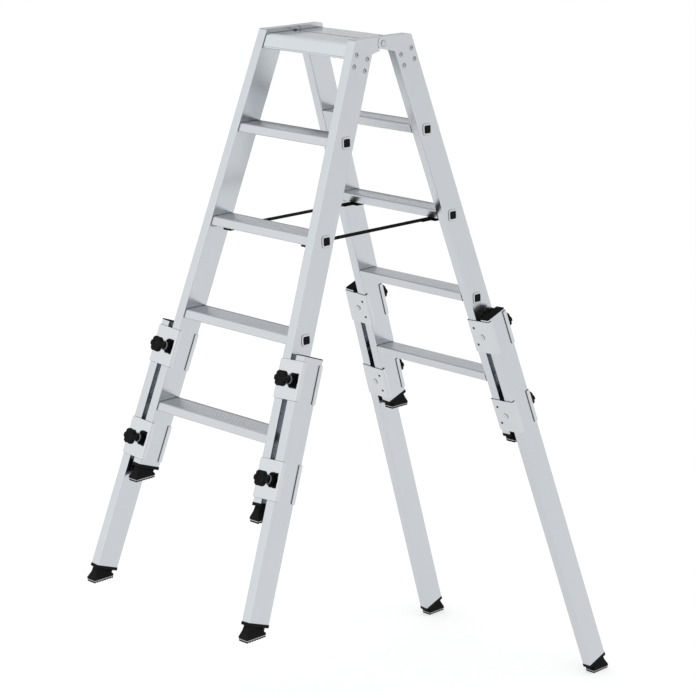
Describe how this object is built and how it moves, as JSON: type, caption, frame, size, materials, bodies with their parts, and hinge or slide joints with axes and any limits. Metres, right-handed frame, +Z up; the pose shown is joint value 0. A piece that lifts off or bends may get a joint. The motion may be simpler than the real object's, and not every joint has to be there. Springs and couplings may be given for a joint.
{
  "type": "trestle ladder",
  "caption": "Free-standing double-sided aluminium step ladder whose legs slide to suit stairs or uneven ground, held by star-knob clamps, with webbing spreader straps.",
  "frame": {"origin": "on the ground plane of the rear soles, under the middle of the overall box", "axes": "+Z up, +X to the right of a person climbing the front half, -Y towards the front half's feet"},
  "size_m": [0.6742, 1.383, 1.8734],
  "materials": {
    "tube_aluminium": "satin extruded tube",
    "tread_aluminium": "satin ribbed extrusion",
    "cast_aluminium": "smooth casting",
    "plate_aluminium": "smooth bent sheet",
    "steel": "bright zinc",
    "black_plastic": "moulded, slight sheen",
    "sole_rubber": "matt ribbed",
    "webbing": "flat woven webbing"
  },
  "bodies": {
    "front_frame": {"front_stile_left": "tube_aluminium", "front_stile_right": "tube_aluminium", "front_step_1": "tread_aluminium", "front_step_2": "tread_aluminium", "front_step_3": "tread_aluminium", "front_step_4": "tread_aluminium", "front_top_step": "tread_aluminium", "front_step_plugs": "black_plastic", "front_hinge_heads": "cast_aluminium", "front_rivets": "steel", "front_clamp_plates": "plate_aluminium", "front_clamp_bolts": "steel", "front_clamp_washers": "steel", "front_base_feet": "black_plastic", "front_base_soles": "sole_rubber", "front_strap_clips": "black_plastic", "straps": "webbing"},
    "rear_frame": {"rear_stile_left": "tube_aluminium", "rear_stile_right": "tube_aluminium", "rear_step_1": "tread_aluminium", "rear_step_2": "tread_aluminium", "rear_step_3": "tread_aluminium", "rear_step_4": "tread_aluminium", "rear_top_step": "tread_aluminium", "rear_step_plugs": "black_plastic", "rear_hinge_heads": "cast_aluminium", "rear_rivets": "steel", "rear_clamp_plates": "plate_aluminium", "rear_clamp_bolts": "steel", "rear_clamp_washers": "steel", "rear_base_feet": "black_plastic", "rear_base_soles": "sole_rubber", "rear_strap_clips": "black_plastic", "hinge_pins": "steel"},
    "front_left_leg": {"front_leg_left": "tube_aluminium", "front_leg_cap_left": "black_plastic", "front_leg_foot_left": "black_plastic", "front_leg_sole_left": "sole_rubber"},
    "front_right_leg": {"front_leg_right": "tube_aluminium", "front_leg_cap_right": "black_plastic", "front_leg_foot_right": "black_plastic", "front_leg_sole_right": "sole_rubber"},
    "rear_left_leg": {"rear_leg_left": "tube_aluminium", "rear_leg_cap_left": "black_plastic", "rear_leg_foot_left": "black_plastic", "rear_leg_sole_left": "sole_rubber"},
    "rear_right_leg": {"rear_leg_right": "tube_aluminium", "rear_leg_cap_right": "black_plastic", "rear_leg_foot_right": "black_plastic", "rear_leg_sole_right": "sole_rubber"},
    "knob_front_left_upper": {"knob_front_left_upper": "black_plastic"},
    "knob_front_left_lower": {"knob_front_left_lower": "black_plastic"},
    "knob_front_right_upper": {"knob_front_right_upper": "black_plastic"},
    "knob_front_right_lower": {"knob_front_right_lower": "black_plastic"},
    "knob_rear_left_upper": {"knob_rear_left_upper": "black_plastic"},
    "knob_rear_left_lower": {"knob_rear_left_lower": "black_plastic"},
    "knob_rear_right_upper": {"knob_rear_right_upper": "black_plastic"},
    "knob_rear_right_lower": {"knob_rear_right_lower": "black_plastic"}
  },
  "joints": [
    {"name": "spread", "type": "hinge", "parent": "front_frame", "child": "rear_frame", "pos_m": [0, -0.08379, 1.85743], "axis": [-1, 0, 0], "range_deg": [0, 40], "deforming": ["straps"]},
    {"name": "front_left_leg_slide", "type": "slide", "parent": "front_frame", "child": "front_left_leg", "axis": [0.0584, 0.3406, 0.9384], "range_m": [0, 0.285]},
    {"name": "front_right_leg_slide", "type": "slide", "parent": "front_frame", "child": "front_right_leg", "axis": [-0.0584, 0.3406, 0.9384], "range_m": [0, 0.285]},
    {"name": "rear_left_leg_slide", "type": "slide", "parent": "rear_frame", "child": "rear_left_leg", "axis": [0.0584, -0.3406, 0.9384], "range_m": [0, 0.78]},
    {"name": "rear_right_leg_slide", "type": "slide", "parent": "rear_frame", "child": "rear_right_leg", "axis": [-0.0584, -0.3406, 0.9384], "range_m": [0, 0.78]},
    {"name": "knob_front_left_upper_turn", "type": "hinge", "parent": "front_frame", "child": "knob_front_left_upper", "pos_m": [-0.233, -0.47564, 1.07304], "axis": [0, -0.94, 0.3412], "continuous": true},
    {"name": "knob_front_left_lower_turn", "type": "hinge", "parent": "front_frame", "child": "knob_front_left_lower", "pos_m": [-0.24758, -0.56062, 0.83892], "axis": [0, -0.94, 0.3412], "continuous": true},
    {"name": "knob_front_right_upper_turn", "type": "hinge", "parent": "front_frame", "child": "knob_front_right_upper", "pos_m": [0.233, -0.47564, 1.07304], "axis": [0, -0.94, 0.3412], "continuous": true},
    {"name": "knob_front_right_lower_turn", "type": "hinge", "parent": "front_frame", "child": "knob_front_right_lower", "pos_m": [0.24758, -0.56062, 0.83892], "axis": [0, -0.94, 0.3412], "continuous": true},
    {"name": "knob_rear_left_upper_turn", "type": "hinge", "parent": "rear_frame", "child": "knob_rear_left_upper", "pos_m": [-0.233, 0.30805, 1.07304], "axis": [0, 0.94, 0.3412], "continuous": true},
    {"name": "knob_rear_left_lower_turn", "type": "hinge", "parent": "rear_frame", "child": "knob_rear_left_lower", "pos_m": [-0.24758, 0.39304, 0.83892], "axis": [0, 0.94, 0.3412], "continuous": true},
    {"name": "knob_rear_right_upper_turn", "type": "hinge", "parent": "rear_frame", "child": "knob_rear_right_upper", "pos_m": [0.233, 0.30805, 1.07304], "axis": [0, 0.94, 0.3412], "continuous": true},
    {"name": "knob_rear_right_lower_turn", "type": "hinge", "parent": "rear_frame", "child": "knob_rear_right_lower", "pos_m": [0.24758, 0.39304, 0.83892], "axis": [0, 0.94, 0.3412], "continuous": true}
  ]
}
